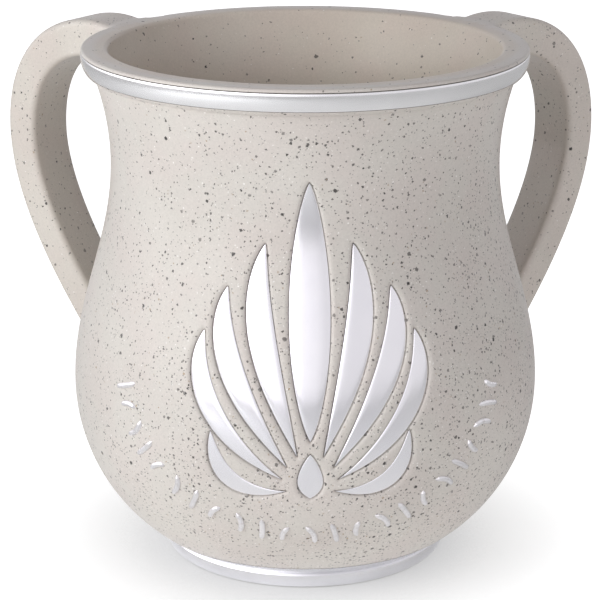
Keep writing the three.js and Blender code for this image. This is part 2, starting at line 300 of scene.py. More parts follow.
def rounded(corner, before, after, radius, count):
    """Points of a rounded corner between the directions before and after it."""
    corner, before, after = (np.array(v, dtype=float) for v in (corner, before, after))
    into = (before - corner) / np.linalg.norm(before - corner)
    out = (after - corner) / np.linalg.norm(after - corner)
    half = math.acos(np.clip(into @ out, -1, 1)) / 2
    reach = radius / math.tan(half)
    middle = corner + (into + out) / np.linalg.norm(into + out) * radius / math.sin(half)
    first, last = corner + into * reach - middle, corner + out * reach - middle
    turn = math.acos(np.clip(first @ last / radius ** 2, -1, 1))
    points = []
    for share in np.linspace(0, 1, count):
        mix = math.sin((1 - share) * turn) * first + math.sin(share * turn) * last
        points.append(tuple(middle + mix / math.sin(turn)))
    return points


def roll_point(angle):
    """A point of the rolled face of the lip."""
    return (
        CORNER_RADIUS + LIP_OVERHANG * math.sin(angle),
        CORNER_HEIGHT + LIP_ROLL_HEIGHT * (1 - math.cos(angle)),
    )


lip_roll = [roll_point(a) for a in np.linspace(0, LIP_ROLL_TURN, 15)]
BAND_TOP_RADIUS, BAND_TOP = lip_roll[-1]
ring_edge = rounded(
    (BAND_TOP_RADIUS, RIM_HEIGHT), (BAND_TOP_RADIUS, 0), (0, RIM_HEIGHT), RING_ROUND, 6
)
mouth_edge = rounded(
    (MOUTH_RADIUS, RIM_HEIGHT), (LIP_RADIUS, RIM_HEIGHT), (MOUTH_RADIUS, 0), MOUTH_ROUND, 7
)
foot_core = CREASE_RADIUS - TRIM - GAP
seat_heights = steps(FOOT_BEAD_HEIGHT + FOOT_ROUND, FLANGE_TOP + GAP, SEAT_PACE)
body_curve = [body_point(h, 0) for h in steps(FLANGE_TOP + GAP, CORNER_HEIGHT, BODY_PACE)]
casting_section = [
    (0, 0),
    (foot_core / 2, 0),
    *rounded((foot_core, 0), (0, 0), (foot_core, RIM_HEIGHT), FOOT_ROUND, 4),
    (foot_core, FOOT_BEAD_HEIGHT),
    *[body_point(h, TRIM + GAP) for h in seat_heights],
    *body_curve,
    *lip_roll[1:],
    (BAND_TOP_RADIUS, BAND_TOP + GAP),
    *ring_edge,
    *[(r, RIM_HEIGHT) for r in RIM_RADII],
    (0, RIM_HEIGHT),
]
inner_curve = [body_point(h, WALL) for h in steps(FOOT_BEAD_HEIGHT + 3, CORNER_HEIGHT, HOLLOW_PACE)]
inner_wall = [p for p in inner_curve if p[1] > FLOOR + HOLLOW_START]
inner_foot = rounded(
    (inner_wall[0][0] - HOLLOW_CORNER, FLOOR), (0, FLOOR), inner_wall[0], HOLLOW_ROUND, 7
)
hollow_section = [
    (0, FLOOR),
    (HOLLOW_FLAT, FLOOR),
    *inner_foot,
    *inner_wall,
    *reversed(mouth_edge),
    (MOUTH_RADIUS + MOUTH_ROUND, RIM_HEIGHT + TOOL_RISE),
    (0, RIM_HEIGHT + TOOL_RISE),
]
print("points in the two sections:", len(casting_section), len(hollow_section))

# %% [markdown]
# ## The strap handles
# Each handle is a flat strap that leaves the lip, swings over the shoulder and comes back to the
# belly. Its centre line is two Bezier curves in an upright plane that is turned 35 degrees to the
# back. A rounded rectangle is carried along it. The straps run into the wall at both ends, and the
# hollow cuts them off there.

# %% Centre line and skin of a strap
SPLAY = math.radians(35)
STRAP_WIDTH, STRAP_THICK, STRAP_TOP_THICK, STRAP_ROUND = 16.0, 9.3, 10.8, 1.8
STRAP_OUTER, STRAP_TOP_DROP, STRAP_FOOT = 97.1, 7.6, 46.0
ROOT_DEPTH, ROOT_FLARE, ROOT_SHARE = 8.0, 5.0, 1 / 8
FAR_RISE, FAR_ABOVE, FAR_BELOW = 0.7, 0.02, 0.49
TOP_BEND, LOW_BEND = (0.37, 0.09), (0.58, 0.25)
CORNER_STEPS, WIDE_STEPS, THICK_STEPS = 6, 6, 4


def bezier(points, count):
    """Evenly stepped points of a cubic Bezier curve."""
    a, b, c, d = (np.array(p) for p in points)
    t = np.linspace(0, 1, count)[:, None]
    return a * (1 - t) ** 3 + 3 * b * t * (1 - t) ** 2 + 3 * c * t ** 2 * (1 - t) + d * t ** 3


def strap_line(count):
    """Centre line of a strap: distance from the axis and height, evenly spaced along it."""
    root = np.array([CORNER_RADIUS, RIM_HEIGHT - STRAP_TOP_DROP])
    foot = np.array([float(body_radius(STRAP_FOOT)), STRAP_FOOT])
    drop = root[1] - foot[1]
    far = np.array([STRAP_OUTER - STRAP_THICK / 2, foot[1] + FAR_RISE * drop])
    top_bend = root + np.array([TOP_BEND[0] * (far[0] - root[0]), TOP_BEND[1] * drop])
    low_bend = foot + np.array([LOW_BEND[0] * (far[0] - foot[0]), LOW_BEND[1] * drop])
    inward = foot + (foot - low_bend) / np.linalg.norm(foot - low_bend) * ROOT_DEPTH
    fine = np.vstack([
        [[root[0] - ROOT_DEPTH, root[1] - 0.1 * ROOT_DEPTH]],
        bezier([root, top_bend, [far[0], root[1] + FAR_ABOVE * drop], far], 200),
        bezier([far, [far[0], foot[1] + FAR_BELOW * drop], low_bend, foot], 200)[1:],
        [inward],
    ])
    gone = np.concatenate([[0], np.cumsum(np.linalg.norm(np.diff(fine, axis=0), axis=1))])
    at = np.linspace(0, gone[-1], count)
    return np.column_stack([np.interp(at, gone, fine[:, 0]), np.interp(at, gone, fine[:, 1])])


def strap_half(share):
    """Half the thickness of a strap at a share of its length."""
    top = np.maximum(0, 1 - 2 * share)
    bottom = np.maximum(0, 1 - (1 - share) / ROOT_SHARE)
    return (STRAP_THICK + (STRAP_TOP_THICK - STRAP_THICK) * top) / 2 + ROOT_FLARE * bottom ** 2


def strap_section(half, grow):
    """Rounded rectangle across a strap: offsets along its thickness and its width."""
    depth, width = half + grow, STRAP_WIDTH / 2 + grow
    corner = STRAP_ROUND + grow * 0.5
    points = []
    turns = ((1, 1, -1, 0), (-1, 1, 0, -1), (-1, -1, 1, 0), (1, -1, 0, 1))
    for quarter, (sign_n, sign_w, go_n, go_w) in enumerate(turns):
        for angle in np.linspace(90 * quarter, 90 * quarter + 90, CORNER_STEPS):
            a = math.radians(angle)
            points.append((
                sign_n * (depth - corner) + corner * math.cos(a),
                sign_w * (width - corner) + corner * math.sin(a),
            ))
        flat, count = (width - corner, WIDE_STEPS) if go_w else (depth - corner, THICK_STEPS)
        n, w = points[-1]
        for share in np.linspace(0, 1, count + 2)[1:-1]:
            points.append((n + 2 * flat * share * go_n, w + 2 * flat * share * go_w))
    return points


def quads(low, high, size):
    """Faces between two rows of points, each a closed loop of the same size."""
    a, b = low * size, high * size
    return [(a + j, a + (j + 1) % size, b + (j + 1) % size, b + j) for j in range(size)]


def strap(name, side, grow=0.0, count=110, lift=0.0):
    """A strap as a closed mesh: side is 1 for the right handle and -1 for the left."""
    line = strap_line(count)
    ahead = np.gradient(line, axis=0)
    ahead /= np.linalg.norm(ahead, axis=1)[:, None]
    out = np.array([side * math.cos(SPLAY), math.sin(SPLAY), 0])
    across = np.array([-side * math.sin(SPLAY), math.cos(SPLAY), 0])
    up = np.array([0, 0, 1])
    points, faces = [], []
    for i in range(count):
        normal = np.array([-ahead[i][1], ahead[i][0]])
        ring = strap_section(float(strap_half(i / (count - 1))), grow)
        for n, w in ring:
            s, z = line[i] + normal * n
            points.append(tuple(out * s + up * (z + lift) + across * w))
        if i:
            faces += quads(i - 1, i, len(ring))
    size = len(ring)
    faces += [tuple(range(size))[::-1], tuple(range((count - 1) * size, count * size))]
    return mesh_piece(name, points, faces)


strap_parts = np.linalg.norm(np.diff(strap_line(200), axis=0), axis=1)
print("length of a strap in mm:", round(float(strap_parts.sum()), 1))

# %% [markdown]
# ## Soft joints between handles and body
# On a casting no two forms meet in a hard crease: the mould is rounded there. The straps are first
# joined to the body with a boolean. Then each point near the crease is moved onto a blended
# surface. The distance to the body and the distance to the strap are mixed with a smooth minimum,
# and the points slide along its slope until the mixed distance is nought. In between, points are
# averaged with their neighbours, so that the thin triangles of the boolean even out.

# %% Distances to the body and to a strap
BATCH = 4000
outline = np.array(casting_section[casting_section.index(body_curve[0]):])
spine = strap_line(160)


def nearest(points, line):
    """Distance from a line of points, how far along it, in parts, and on which side."""
    ahead = np.diff(line, axis=0)
    away = points[:, None, :] - line[None, :-1]
    share = np.clip((away * ahead).sum(2) / (ahead ** 2).sum(1), 0, 1)
    gap = away - share[..., None] * ahead
    far = (gap ** 2).sum(2)
    near, row = far.argmin(1), np.arange(len(points))
    step, off = ahead[near], gap[row, near]
    side = np.where(off[:, 0] * step[:, 1] - off[:, 1] * step[:, 0] >= 0, 1, -1)
    return np.sqrt(far[row, near]), near + share[row, near], side


def body_distance(points):
    """Signed distance in millimetres from the turned body, positive outside."""
    flat = np.column_stack([np.hypot(points[:, 0], points[:, 1]), points[:, 2]])
    parts = [nearest(flat[k:k + BATCH], outline) for k in range(0, len(flat), BATCH)]
    return np.concatenate([far * side for far, _, side in parts])


def strap_distance(points):
    """Signed distance in millimetres from the nearer strap, positive outside."""
    x = np.abs(points[:, 0])
    along = x * math.cos(SPLAY) + points[:, 1] * math.sin(SPLAY)
    across = -x * math.sin(SPLAY) + points[:, 1] * math.cos(SPLAY)
    far, place, _ = nearest(np.column_stack([along, points[:, 2]]), spine)
    out_n = far - (strap_half(place / (len(spine) - 1)) - STRAP_ROUND)
    out_w = np.abs(across) - (STRAP_WIDTH / 2 - STRAP_ROUND)
    outside = np.hypot(np.maximum(out_n, 0), np.maximum(out_w, 0))
    return outside + np.minimum(np.maximum(out_n, out_w), 0) - STRAP_ROUND


BLEND, RING_BLEND = 5.0, 2.6
RING_BLEND_HEIGHT, RING_BLEND_SPAN = 126, 8
SLOPE_PROBE = 0.05


def blended(points):
    """Mixed distance from the body and the straps, with a round valley between them."""
    body, arm = body_distance(points), strap_distance(points)
    near_lip = np.clip((points[:, 2] - RING_BLEND_HEIGHT) / RING_BLEND_SPAN, 0, 1)
    width = BLEND + (RING_BLEND - BLEND) * near_lip
    valley = np.maximum(width - np.abs(body - arm), 0) / width
    return np.minimum(body, arm) - valley ** 2 * width / 4


def blended_slope(points):
    """Direction in which the mixed distance grows fastest, as unit vectors."""
    shifts = np.eye(3) * SLOPE_PROBE
    rows = [(blended(points + s) - blended(points - s)) / (2 * SLOPE_PROBE) for s in shifts]
    slope = np.array(rows).T
    return slope / np.maximum(np.linalg.norm(slope, axis=1), 1e-6)[:, None]


# %% Join the straps to the body and round the joints
JOINT_REACH, JOINT_MERGE = 6.5, 0.35
PASSES, EVEN_SHARE = 14, 0.6


def joint_points(shape):
    """All points of a mesh in millimetres, and which of them lie near a joint."""
    shape.verts.ensure_lookup_table()
    places = np.array([v.co[:] for v in shape.verts]) / MM
    body, arm = body_distance(places), strap_distance(places)
    return places, (np.abs(body) < JOINT_REACH) & (np.abs(arm) < JOINT_REACH)


def soften_joints(item):
    """Evens out the mesh round the joints and moves its points onto the blended surface."""
    shape = bmesh.new()
    shape.from_mesh(item.data)
    places, zone = joint_points(shape)
    near = [shape.verts[i] for i in np.flatnonzero(zone)]
    bmesh.ops.remove_doubles(shape, verts=near, dist=JOINT_MERGE * MM)
    places, zone = joint_points(shape)

    def inside(part):
        return all(zone[v.index] for v in part.verts)

    bmesh.ops.triangulate(shape, faces=[f for f in shape.faces if inside(f)])
    shape.verts.ensure_lookup_table()
    moving = np.flatnonzero(zone)
    rings = [
        [e.other_vert(shape.verts[i]).index for e in shape.verts[i].link_edges] for i in moving
    ]
    for turn in range(PASSES):
        if turn % 2 == 0 and turn < PASSES - 2:
            means = np.array([places[r].mean(0) for r in rings])
            slope = blended_slope(places[moving])
            pull = means - places[moving]
            pull -= (pull * slope).sum(1)[:, None] * slope
            places[moving] += EVEN_SHARE * pull
        slope = blended_slope(places[moving])
        places[moving] -= blended(places[moving])[:, None] * slope
    for i in moving:
        shape.verts[i].co = Vector(places[i] * MM)
    bmesh.ops.beautify_fill(
        shape,
        faces=[f for f in shape.faces if len(f.verts) == 3 and inside(f)],
        edges=[e for e in shape.edges if inside(e)],
    )
    shape.to_mesh(item.data)
    shape.free()
    return len(moving)


TURNS = 264
cup = turned("cup_casting", casting_section, TURNS)
for side in (-1, 1):
    cup = cut(cup, strap("strap_tool", side), "UNION")
print("triangles before the joints are rounded:", triangles(cup))
moved = soften_joints(cup)
facing_out(cup, 0.01)
print("points moved onto the rounded joints:", moved)

# %% [markdown]
# ## Hollow and band seat
# The hollow is turned like the body and taken out. So is the groove in which the lip's band sits,
# except under the handles, where the casting stays full.

# %% Hollow the cup and cut the seat of the lip's band
def seat_section(depth, rise, top):
    """The seat of the lip's band: a cone from just above the corner, then a short wall."""
    return [
        (CORNER_RADIUS - depth + LIP_OVERHANG * rise / LIP_ROLL_HEIGHT, CORNER_HEIGHT + rise),
        (LIP_RADIUS - depth, CORNER_HEIGHT + LIP_ROLL_HEIGHT),
        (LIP_RADIUS - depth, top),
    ]


BAND_CLEAR, BAND_RISE, BAND_SLIT = 2.2, 1.3, 0.15
NOTCH_LIFTS, NOTCH_STEPS, HOLLOW_TURNS = (0.0, 5.0), 60, 192


def with_notches(item, grow):
    """Leaves room for the straps, and for what lies between them and the rim, in a ring."""
    for side in (-1, 1):
        for lift in NOTCH_LIFTS:
            item = cut(item, strap("notch_tool", side, grow, NOTCH_STEPS, lift))
    return item


cup = cut(cup, turned("hollow_tool", hollow_section, HOLLOW_TURNS))
clear = LIP_RADIUS + TRIM + GAP
seat = seat_section(TRIM + GAP, BAND_RISE, BAND_TOP + GAP)
seat = [(clear, seat[0][1]), *seat, (clear, BAND_TOP + GAP), (clear, seat[0][1])]
cup = cut(cup, with_notches(turned("seat_tool", seat, TURNS), BAND_CLEAR - GAP))
print("triangles with the hollow and the seat:", triangles(cup))

# %% [markdown]
# ## The bands
# Each band is a thin turned ring. The lip's band starts a little above the corner, where the photo
# shows its lower edge, follows the roll of the lip and ends beside the handles. The foot's band is
# a rounded bead with a flange above a crease.

# %% Turn the two bands
BAND_EDGE, CREASE_STEP, BEAD_STEP = 0.12, 0.05, 0.35
BEAD_SHOULDER, BEAD_TAPER = 0.9, 1.5
band_start = math.acos(1 - (BAND_RISE + BAND_SLIT) / LIP_ROLL_HEIGHT)
band_roll = [roll_point(a) for a in np.linspace(band_start, LIP_ROLL_TURN, 18)]
band_roll[-1] = (band_roll[-1][0] - BAND_EDGE, band_roll[-1][1])
band_section = [*band_roll, *reversed(seat_section(TRIM, BAND_RISE + BAND_SLIT, BAND_TOP))]
lip_ring = turned("lip_ring", [*band_section, band_section[0]], TURNS, "silver_lip")
lip_ring = with_notches(lip_ring, BAND_CLEAR)

flange = steps(FOOT_BEAD_HEIGHT + FOOT_ROUND, FLANGE_TOP, FLANGE_PACE)
bead_top = FOOT_BEAD_HEIGHT - BEAD_SHOULDER
foot_section = [
    *reversed([body_point(h, 0) for h in flange]),
    (CREASE_RADIUS - CREASE_STEP, FOOT_BEAD_HEIGHT),
    (FOOT_RADIUS - BAND_EDGE, FOOT_BEAD_HEIGHT - BEAD_STEP),
    *[
        (FOOT_RADIUS - BEAD_TAPER * (1 - math.cos(a)), bead_top - (bead_top - GAP) * math.sin(a))
        for a in np.linspace(0, math.pi / 2, 9)
    ],
    (CREASE_RADIUS - TRIM, GAP),
    (CREASE_RADIUS - TRIM, FOOT_BEAD_HEIGHT),
    *[body_point(h, TRIM) for h in flange],
]
foot_section.append(foot_section[0])
foot_band = turned("foot_band_polished", foot_section, TURNS, "silver_foot")


def part_of(item, name, side):
    """The part of a mesh on one side of the handles, in front for -1, as a piece of its own."""
    shape = bmesh.new()
    shape.from_mesh(item.data)
    middle = LIP_RADIUS * math.sin(SPLAY) * MM
    gone = [v for v in shape.verts if (v.co.y - middle) * side < 0]
    bmesh.ops.delete(shape, geom=gone, context="VERTS")
    mesh = bpy.data.meshes.new(name)
    shape.to_mesh(mesh)
    shape.free()
    return linked(name, mesh)


lip_bands = [
    part_of(lip_ring, "lip_band_front_polished", -1), part_of(lip_ring, "lip_band_back_polished", 1)
]
bpy.data.objects.remove(lip_ring)
print("triangles in the bands:", [triangles(b) for b in (*lip_bands, foot_band)])

# %% [markdown]
# ## The leaves and their pockets
# A palmette is a fan of leaves over a small bud. Each leaf is drawn as a curved centre line with a
# width that swells and closes again, and laid on the belly: a point of the drawing goes straight
# back until it meets the body. The metal lies a little below the stone. The tool that cuts a
# pocket is a stack of the leaf's own outline, grown a little more at each level, so that its
# flared top gives the stone a soft edge.

# %% Draw the leaves
PALMETTE_HEIGHT, PALMETTE_WIDTH, PALMETTE_FOOT = 79.5, 59.6, 34.5
LEAF_SINK, LEAF_THICK, LEAF_FULLNESS = 0.5, 1.2, 0.7
SIDE_LEAF_WIDTH, EDGE_DROP, EDGE_POWER = 7.0, 0.3, 6
LEAF_STATIONS, POCKET_STATIONS, TIP_STATIONS = 44, 34, 5
PLATE_SHARES = (-1, -0.985, -0.93, -0.8, -0.6, -0.35, 0, 0.35, 0.6, 0.8, 0.93, 0.985, 1)
# How far a pocket reaches past the leaf, and how high that lies above the belly, level by level
POCKET_LEVELS = (
    (0.14, -(LEAF_SINK + LEAF_THICK + GAP)), (0.14, -0.95), (0.2, -0.62), (0.36, -0.36),
    (0.6, -0.17), (0.9, -0.055), (1.25, 0.04), (1.25, 2.5),
)
side_leaves = [
    ([[0.114, 0.151], [0.302, 0.352], [0.554, 0.579], [0.369, 0.805]], 1.0, 0.58),
    ([[0.201, 0.113], [0.487, 0.264], [0.872, 0.465], [0.688, 0.667]], 0.91, 0.59),
    ([[0.242, 0.07], [0.638, 0.151], [1.09, 0.321], [0.889, 0.528]], 0.8, 0.6),
    ([[0.208, 0.026], [0.47, 0.006], [0.84, 0.019], [0.846, 0.215]], 0.68, 0.61),
]
leaves = [
    ("palmette_bud", [[0, 0], [0, 0.038], [0, 0.088], [0, 0.157]], 6.6, 0.45, 1),
    ("palmette_leaf_centre", [[0, 0.201], [0, 0.43], [0, 0.73], [0, 1]], 10.5, 0.5, 1),
]
for number, (line, width, peak) in enumerate(side_leaves, 1):
    for side, hand in ((-1, "left"), (1, "right")):
        leaves.append((f"palmette_leaf_{number}_{hand}", line, width * SIDE_LEAF_WIDTH, peak, side))


def leaf_stations(line, width, peak, side, grow, count):
    """Points along the middle of a leaf, from foot to tip, with the way across and half a width."""
    a, b, c, d = (
        np.array([side * x * PALMETTE_WIDTH / 2, PALMETTE_FOOT + z * PALMETTE_HEIGHT])
        for x, z in line
    )
    power = math.log(0.5) / math.log(peak)
    pairs = []
    for t in ((1 - np.cos(np.linspace(0, math.pi, count))) / 2).tolist():
        point = a * (1 - t) ** 3 + 3 * b * t * (1 - t) ** 2 + 3 * c * t ** 2 * (1 - t) + d * t ** 3
        ahead = 3 * (b - a) * (1 - t) ** 2 + 6 * (c - b) * t * (1 - t) + 3 * (d - c) * t ** 2
        ahead = ahead / np.linalg.norm(ahead)
        beside = np.array([-ahead[1], ahead[0]])
        half = width / 2 * max(0.0, math.sin(math.pi * t ** power)) ** LEAF_FULLNESS
        pairs.append((point, ahead, beside, half))
    stations = [(point, beside, half + grow) for point, _, beside, half in pairs]
    if grow == 0:
        return stations

    def end(pair, angles, way):
        """Round end of a grown leaf, which lies before its foot or beyond its tip."""
        point, ahead, beside, _ = pair
        turns = [(math.cos(a), math.sin(a)) for a in angles]
        return [(point + way * ahead * grow * c, beside, grow * s) for c, s in turns]

    before = end(pairs[0], np.linspace(0, math.pi / 2, TIP_STATIONS, endpoint=False), -1)
    beyond = end(pairs[-1], np.linspace(math.pi / 2, 0, TIP_STATIONS + 1)[1:], 1)
    return before + stations + beyond


def on_body(across, height, out):
    """The point of the body straight behind a point of the front view, moved out by out."""
    radius = float(body_radius(height))
    radial, upward = (float(v) for v in body_normal(height))
    sine = across / radius
    cosine = math.sqrt(max(0.0, 1 - sine * sine))
    reach = radius + out * radial
    return (reach * sine, -reach * cosine, height + out * upward)


def pocket_tool(name, leaf):
    """A closed tool that cuts the pocket of a leaf and rounds the stone at its edge."""
    points, faces, rows = [], [], []
    for grow, out in POCKET_LEVELS:
        stations = leaf_stations(*leaf, grow, POCKET_STATIONS)
        left = [p + beside * half for p, beside, half in stations]
        right = [p - beside * half for p, beside, half in stations]
        points += [on_body(x, z, out) for x, z in left + right[::-1]]
    count = len(left)
    size = 2 * count
    for level in range(len(POCKET_LEVELS) - 1):
        faces += quads(level, level + 1, size)
    for start in (0, (len(POCKET_LEVELS) - 1) * size):
        for i in range(count - 1):
            faces.append((start + i, start + i + 1, start + size - 2 - i, start + size - 1 - i))
    return mesh_piece(name, points, faces)


def leaf_plate(name, leaf):
    """A leaf of polished metal: a shallow pillow with a soft edge, following the belly."""
    stations = leaf_stations(*leaf, 0.0, LEAF_STATIONS)
    points, faces = [], []
    for p, beside, half in stations:
        for share in PLATE_SHARES:
            x, z = p + beside * half * share
            crown = 1 - abs(share) ** EDGE_POWER
            points.append(on_body(x, z, -LEAF_SINK - EDGE_DROP * (1 - crown)))
        for share in (1, 0, -1):
            x, z = p + beside * half * share
            points.append(on_body(x, z, -LEAF_SINK - LEAF_THICK))
    width = len(PLATE_SHARES) + 3
    for i in range(len(stations) - 1):
        faces += quads(i, i + 1, width)
    return mesh_piece(name, points, faces)


metal_leaves = []
for name, *leaf in leaves:
    cup = cut(cup, pocket_tool("pocket_tool", leaf))
    metal_leaves.append((leaf_plate(name + "_polished", leaf), name))
print("triangles with the pockets:", triangles(cup))
print("triangles in a leaf:", triangles(metal_leaves[1][0]))

# %% [markdown]
# ## The raised strokes
# A row of small raised strokes runs round the palmette in a U. They stand for a moulded inscription
# and are no letters. What repeats is made with nodes: a point for each stroke carries its turn and
# its length, and Instance on Points sets one of three bent rounded bars on it.

# %% Points of the U
STROKE_COUNT, STROKE_HEIGHT, STROKE_WIDTH, STROKE_RELIEF = 23, 7.6, 1.6, 0.7
ARC_CENTRE, ARC_DEPTH, ARC_HALF = 66.0, 43.0, math.radians(49)
SWING = math.radians(80)
STROKE_LENGTHS, STROKE_BOWS = (1.0, 0.72, 0.9), (1.2, -0.8, 0.3)
STROKE_LEANS = tuple(math.radians(a) for a in (8, -14, 20))
places, turns_of, lengths = [], [], []
for i in range(STROKE_COUNT):
    share = 2 * i / (STROKE_COUNT - 1) - 1
    swing = share * SWING
    around = ARC_HALF * math.sin(swing) / math.sin(SWING)
    height = ARC_CENTRE - ARC_DEPTH * math.cos(swing)
    sine, cosine = math.sin(around), math.cos(around)
    radial, upward = (float(v) for v in body_normal(height))
    out = Vector((radial * sine, -radial * cosine, upward))
    across = Vector((cosine, sine, 0))
    basis = Matrix((across, out.cross(across), out)).transposed()
    lean = Matrix.Rotation(swing + STROKE_LEANS[i % 3], 3, "Z")
    radius = float(body_radius(height))
    places.append((radius * sine, -radius * cosine, height))
    turns_of.append((basis @ lean).to_euler())
    lengths.append(STROKE_LENGTHS[i % 3])
stroke_points = new_mesh("stroke_points", places, [], [])
store(stroke_points, "turn", "FLOAT_VECTOR", [c for t in turns_of for c in t])
store(stroke_points, "length", "FLOAT", lengths)
print("strokes:", len(places))

# %% The stroke tree
BAR_STEPS, BAR_SIDES, TAPER_POWER = 10, 12, 5


def maths(tree, how, first, second=0.0):
    """A Math node; each side is a socket or a number."""
    return node(tree, "ShaderNodeMath", {0: first, 1: second}, operation=how).outputs[0]


def vector(tree, x, y, z):
    """A Combine XYZ node from sockets or numbers."""
    return node(tree, "ShaderNodeCombineXYZ", {0: x, 1: y, 2: z}).outputs[0]


strokes, given = new_tree(
    "Geometry", "raised_strokes",
    {
        "Points": "Geometry", "Stroke length": "Float", "Stroke width": "Float", "Sunk": "Float",
        "Finish": "Material",
    },
    {"Strokes": "Geometry"},
)
half_long = maths(strokes, "DIVIDE", given["Stroke length"], 2)
half_wide = maths(strokes, "DIVIDE", given["Stroke width"], 2)
back_long = maths(strokes, "MULTIPLY", half_long, -1)
sink = maths(strokes, "MULTIPLY", given["Sunk"], -1)
along = node(strokes, "GeometryNodeSplineParameter").outputs["Factor"]
centred = maths(strokes, "SUBTRACT", maths(strokes, "MULTIPLY", along, 2), 1)
fall = maths(strokes, "POWER", maths(strokes, "ABSOLUTE", centred), TAPER_POWER)
taper = maths(strokes, "SQRT", maths(strokes, "SUBTRACT", 1.001, fall))
bar_section = node(strokes, "GeometryNodeCurvePrimitiveCircle", {
    "Resolution": BAR_SIDES, "Radius": half_wide,
})
kinds = node(strokes, "GeometryNodeGeometryToInstance")
for bow in STROKE_BOWS:
    arc = node(strokes, "GeometryNodeCurveQuadraticBezier", {
        "Resolution": BAR_STEPS,
        "Start": vector(strokes, 0.0, back_long, sink),
        "Middle": vector(strokes, maths(strokes, "MULTIPLY", half_wide, bow * 2), 0.0, sink),
        "End": vector(strokes, 0.0, half_long, sink),
    })
    bar = node(strokes, "GeometryNodeCurveToMesh", {
        "Curve": arc.outputs["Curve"], "Profile Curve": bar_section.outputs["Curve"],
        "Scale": taper, "Fill Caps": True,
    })
    feed(strokes, kinds, {"Geometry": bar.outputs["Mesh"]})


def carried_value(name, kind):
    """An attribute that the points carry."""
    carrier = node(strokes, "GeometryNodeInputNamedAttribute", {"Name": name}, data_type=kind)
    return carrier.outputs["Attribute"]


number = node(strokes, "GeometryNodeInputIndex").outputs["Index"]
setter = node(strokes, "GeometryNodeInstanceOnPoints", {
    "Points": given["Points"], "Instance": kinds.outputs["Instances"], "Pick Instance": True,
    "Instance Index": maths(strokes, "MODULO", number, len(STROKE_BOWS)),
    "Rotation": carried_value("turn", "FLOAT_VECTOR"),
    "Scale": vector(strokes, 1.0, carried_value("length", "FLOAT"), 1.0),
})
end_tree(strokes, setter.outputs["Instances"], given["Finish"], "Strokes")

# %% Set the strokes on the belly
raised_strokes = run_tree(strokes, stroke_points, "raised_strokes", {
    "Stroke length": STROKE_HEIGHT * MM, "Stroke width": STROKE_WIDTH * MM,
    "Sunk": (STROKE_WIDTH / 2 - STROKE_RELIEF) * MM,
    "Finish": material_called("silver_strokes"),
})
print("triangles in the strokes:", triangles(raised_strokes))

# %% [markdown]
# ## Shader groups
# Two effects are used by more than one material, so each is built once as a group of nodes.
# Grains are round spots scattered through the stone: a Voronoi texture gives each cell a centre,
# a random size and a random place in a lottery that leaves most cells empty. Handling marks are
# soft patches where a surface is a little duller. Both read Object coordinates in metres, so they
# stay where they are whatever the camera does.

# %% Grains and handling marks
SMALLEST_GRAIN, GRAIN_EDGE = 0.28, 0.25


def vector_maths(tree, how, first, second):
    """A Vector Math node; each side is a socket or a triple, and the second of SCALE a number."""
    slot = "Scale" if how == "SCALE" else 1
    return node(tree, "ShaderNodeVectorMath", {0: first, slot: second}, operation=how).outputs[0]


def noise_at(tree, place, scale, detail=2.0, roughness=0.5, output="Fac"):
    """A noise texture's value, or its colour."""
    inputs = {"Vector": place, "Scale": scale, "Detail": detail, "Roughness": roughness}
    return node(tree, "ShaderNodeTexNoise", inputs).outputs[output]


def ranged(tree, value, low, high, to_low=0.0, to_high=1.0):
    """A value mapped from one range to another."""
    return node(tree, "ShaderNodeMapRange", {
        "Value": value, "From Min": low, "From Max": high, "To Min": to_low, "To Max": to_high,
    }).outputs["Result"]


grains, given = new_tree(
    "Shader", "grains",
    {"Place": "Vector", "Per metre": "Float", "Largest": "Float", "Share": "Float"},
    {"Grain": "Float", "Tone": "Float"},
)
cells = node(grains, "ShaderNodeTexVoronoi", {
    "Vector": vector_maths(grains, "SCALE", given["Place"], given["Per metre"]), "Scale": 1.0,
}, feature="F1")
lots = node(grains, "ShaderNodeSeparateColor", {"Color": cells.outputs["Color"]}).outputs
spread = maths(grains, "MULTIPLY", maths(grains, "POWER", lots["Red"], 2.0), 1 - SMALLEST_GRAIN)
grain_size = maths(grains, "ADD", spread, SMALLEST_GRAIN)
grain_size = maths(grains, "MULTIPLY", given["Largest"], grain_size)
inside = maths(grains, "SUBTRACT", grain_size, cells.outputs["Distance"])
inside = maths(grains, "DIVIDE", inside, maths(grains, "MULTIPLY", grain_size, GRAIN_EDGE))
soft = node(grains, "ShaderNodeClamp", {"Value": inside}).outputs["Result"]
drawn = maths(grains, "LESS_THAN", lots["Green"], given["Share"])
node(grains, "NodeGroupOutput", {
    "Grain": maths(grains, "MULTIPLY", soft, drawn), "Tone": lots["Blue"],
})

marks, given = new_tree(
    "Shader", "handling_marks",
    {"Place": "Vector", "Per metre": "Float", "Least": "Float", "Most": "Float"},
    {"Value": "Float"},
)
patches = noise_at(marks, given["Place"], given["Per metre"], 5.0, 0.62)
node(marks, "NodeGroupOutput", {
    "Value": ranged(marks, patches, 0.3, 0.7, given["Least"], given["Most"]),
})
print("shader groups:", [g.name for g in bpy.data.node_groups if g.bl_idname == "ShaderNodeTree"])
